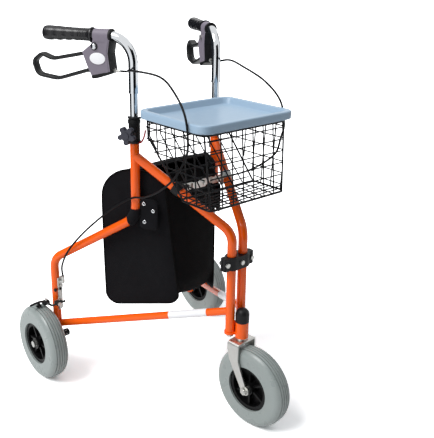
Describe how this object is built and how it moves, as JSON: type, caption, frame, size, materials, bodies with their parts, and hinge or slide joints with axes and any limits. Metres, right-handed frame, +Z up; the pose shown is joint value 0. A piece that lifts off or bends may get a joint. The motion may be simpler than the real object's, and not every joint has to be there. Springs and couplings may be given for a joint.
{
  "type": "three wheel rollator",
  "caption": "Folding walking aid on a swivelling front wheel and splayed rear wheels, with height-set handles, loop brakes, a bag, a wire basket and a lift-off tray.",
  "frame": {"origin": "on the ground under the middle of the overall box", "axes": "+Z up, the front caster toward -Y, the walker's right side toward -X"},
  "size_m": [0.6278, 0.7118, 0.93],
  "materials": {
    "frame_paint": "gloss",
    "chrome": "polished",
    "steel": "satin",
    "black_plastic": "satin",
    "grey_plastic": "matte",
    "lever": "satin",
    "grip": "satin",
    "cable": "satin",
    "tyre": "matte",
    "rim_plastic": "satin",
    "fabric": "woven",
    "wire": "satin",
    "tray_plastic": "satin"
  },
  "bodies": {
    "head": {"head_tube": "frame_paint", "head_cap": "black_plastic", "head_bearings": "steel", "hinge_pins": "steel", "clamp_front": "black_plastic", "clamp_rear": "black_plastic", "clamp_bolts": "steel", "bag": "fabric"},
    "right_frame": {"right_main_tube": "frame_paint", "right_front_tube": "frame_paint", "right_lower_rail": "frame_paint", "right_collar": "black_plastic", "right_strut_clip": "black_plastic", "right_bag_strap": "fabric", "right_brake_cable": "cable", "right_brake_mount": "steel", "right_rear_axle": "steel"},
    "right_handle": {"right_handle_tube": "chrome", "right_handle_post": "chrome", "right_grip": "grip", "right_brake_housing": "grey_plastic", "right_lever_pin": "steel"},
    "right_lever": {"right_brake_lever": "lever"},
    "right_knob": {"right_height_knob": "black_plastic"},
    "right_brake": {"right_brake_arm": "black_plastic"},
    "right_strut": {"right_strut_link": "steel"},
    "right_wheel": {"right_tyre": "tyre", "right_rim": "rim_plastic"},
    "left_frame": {"left_main_tube": "frame_paint", "left_front_tube": "frame_paint", "left_lower_rail": "frame_paint", "left_collar": "black_plastic", "left_strut_clip": "black_plastic", "left_bag_strap": "fabric", "left_brake_cable": "cable", "left_brake_mount": "steel", "left_rear_axle": "steel"},
    "left_handle": {"left_handle_tube": "chrome", "left_handle_post": "chrome", "left_grip": "grip", "left_brake_housing": "grey_plastic", "left_lever_pin": "steel"},
    "left_lever": {"left_brake_lever": "lever"},
    "left_knob": {"left_height_knob": "black_plastic"},
    "left_brake": {"left_brake_arm": "black_plastic"},
    "left_strut": {"left_strut_link": "steel"},
    "left_wheel": {"left_tyre": "tyre", "left_rim": "rim_plastic"},
    "caster": {"fork": "steel", "fork_stem": "steel", "front_axle": "steel"},
    "front_wheel": {"front_tyre": "tyre", "front_rim": "rim_plastic"},
    "basket": {"basket_frame": "wire", "basket_front": "wire", "basket_sides": "wire", "basket_rear": "wire", "basket_bottom": "wire"},
    "tray": {"tray": "tray_plastic"}
  },
  "joints": [
    {"name": "right_fold", "type": "hinge", "parent": "head", "child": "right_frame", "pos_m": [-0.0175, -0.19095, 0.3], "axis": [0, 0, -1], "range_deg": [0, 17], "deforming": ["bag", "right_brake_cable", "left_brake_cable"]},
    {"name": "left_fold", "type": "hinge", "parent": "head", "child": "left_frame", "pos_m": [0.0175, -0.19095, 0.3], "axis": [0, 0, 1], "range_deg": [0, 17], "deforming": ["bag", "right_brake_cable", "left_brake_cable"]},
    {"name": "right_strut_swing", "type": "hinge", "parent": "right_frame", "child": "right_strut", "pos_m": [-0.05287, -0.06511, 0.56936], "axis": [0, -1, 0], "range_deg": [0, 71.4]},
    {"name": "left_strut_swing", "type": "hinge", "parent": "left_frame", "child": "left_strut", "pos_m": [0.05287, -0.06511, 0.56936], "axis": [0, 1, 0], "range_deg": [0, 71.4]},
    {"name": "basket_lift", "type": "slide", "parent": "head", "child": "basket", "axis": [0, 0, 1], "range_m": [0, 0.1929]},
    {"name": "tray_lift", "type": "slide", "parent": "basket", "child": "tray", "axis": [0, 0, 1], "range_m": [0, 0.08]},
    {"name": "right_height", "type": "slide", "parent": "right_frame", "child": "right_handle", "axis": [0, 0, 1], "range_m": [-0.04, 0.05], "deforming": ["right_brake_cable"]},
    {"name": "right_knob_turn", "type": "hinge", "parent": "right_frame", "child": "right_knob", "pos_m": [-0.15945, 0.01797, 0.694], "axis": [-0.8988, -0.4384, 0], "continuous": true},
    {"name": "right_lever_squeeze", "type": "hinge", "parent": "right_handle", "child": "right_lever", "pos_m": [-0.16742, 0.11644, 0.888], "axis": [0.8988, 0.4384, 0], "range_deg": [0, 10], "stiffness_Nm_per_rad": 3},
    {"name": "right_brake_press", "type": "hinge", "parent": "right_frame", "child": "right_brake", "pos_m": [-0.24737, 0.25576, 0.212], "axis": [0, -1, 0], "range_deg": [0, 3.5]},
    {"name": "right_wheel_spin", "type": "hinge", "parent": "right_frame", "child": "right_wheel", "pos_m": [-0.28287, 0.25576, 0.1], "axis": [1, 0, 0], "continuous": true},
    {"name": "left_height", "type": "slide", "parent": "left_frame", "child": "left_handle", "axis": [0, 0, 1], "range_m": [-0.04, 0.05], "deforming": ["left_brake_cable"]},
    {"name": "left_knob_turn", "type": "hinge", "parent": "left_frame", "child": "left_knob", "pos_m": [0.15945, 0.01797, 0.694], "axis": [0.8988, -0.4384, 0], "continuous": true},
    {"name": "left_lever_squeeze", "type": "hinge", "parent": "left_handle", "child": "left_lever", "pos_m": [0.16742, 0.11644, 0.888], "axis": [0.8988, -0.4384, 0], "range_deg": [0, 10], "stiffness_Nm_per_rad": 3},
    {"name": "left_brake_press", "type": "hinge", "parent": "left_frame", "child": "left_brake", "pos_m": [0.24737, 0.25576, 0.212], "axis": [0, 1, 0], "range_deg": [0, 3.5]},
    {"name": "left_wheel_spin", "type": "hinge", "parent": "left_frame", "child": "left_wheel", "pos_m": [0.28287, 0.25576, 0.1], "axis": [1, 0, 0], "continuous": true},
    {"name": "caster_swivel", "type": "hinge", "parent": "head", "child": "caster", "pos_m": [0, -0.21494, 0.2], "axis": [0, 0, 1], "continuous": true},
    {"name": "front_wheel_spin", "type": "hinge", "parent": "caster", "child": "front_wheel", "pos_m": [0.00393, -0.25576, 0.1], "axis": [0.9954, 0.0958, 0], "continuous": true}
  ],
  "couplings": [
    {"joint": "left_fold", "follows": "right_fold", "ratio": 1},
    {"joint": "right_strut_swing", "follows": "right_fold", "ratio": 4.2},
    {"joint": "left_strut_swing", "follows": "right_fold", "ratio": 4.2},
    {"joint": "basket_lift", "follows": "right_fold", "m_per_rad": 0.65},
    {"joint": "right_brake_press", "follows": "right_lever_squeeze", "ratio": 0.349},
    {"joint": "left_brake_press", "follows": "left_lever_squeeze", "ratio": 0.349}
  ]
}
